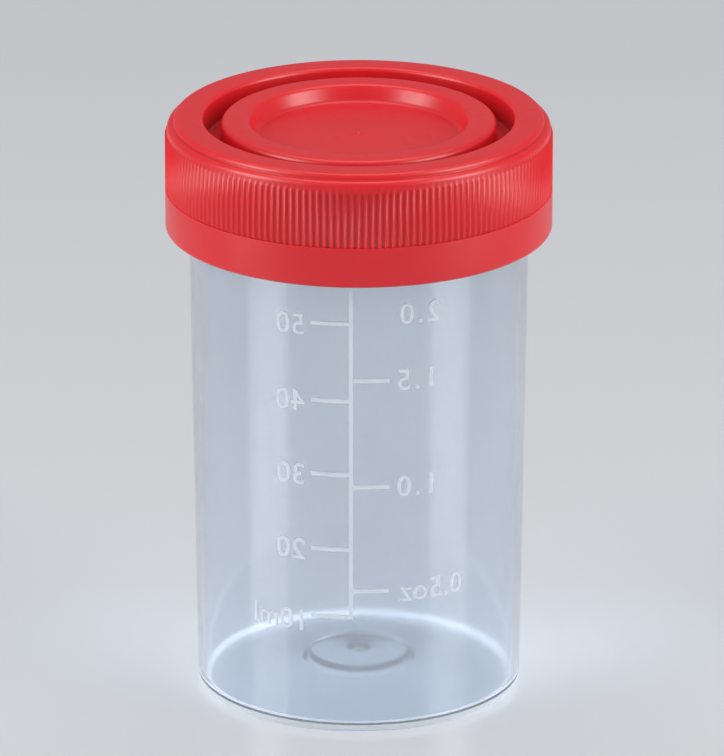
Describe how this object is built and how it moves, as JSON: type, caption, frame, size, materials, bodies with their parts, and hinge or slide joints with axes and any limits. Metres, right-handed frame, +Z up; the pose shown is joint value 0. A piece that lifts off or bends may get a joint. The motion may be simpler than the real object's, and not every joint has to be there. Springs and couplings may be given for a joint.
{
  "type": "urine specimen bottle",
  "caption": "Clear round specimen cup with a raised volume scale and a domed base, closed by a ribbed screw cap with a recessed top and a moulded plug seal.",
  "frame": {"origin": "centre of the circle that the cup's foot stands on", "axes": "+Z up the axis of the cup and its cap; the volume scale faces -Y, with the millilitre ticks towards -X"},
  "size_m": [0.0446, 0.0446, 0.0688],
  "materials": {
    "clear_plastic": "frosted clear polypropylene, slightly milky",
    "red_plastic": "satin red polyethylene"
  },
  "bodies": {
    "cup": {"cup": "clear_plastic"},
    "cap": {"screw_cap": "red_plastic"}
  },
  "joints": [
    {"name": "cap_lift", "type": "slide", "parent": "cup", "child": "cap", "axis": [0, 0, 1], "range_m": [0, 0.04]}
  ]
}
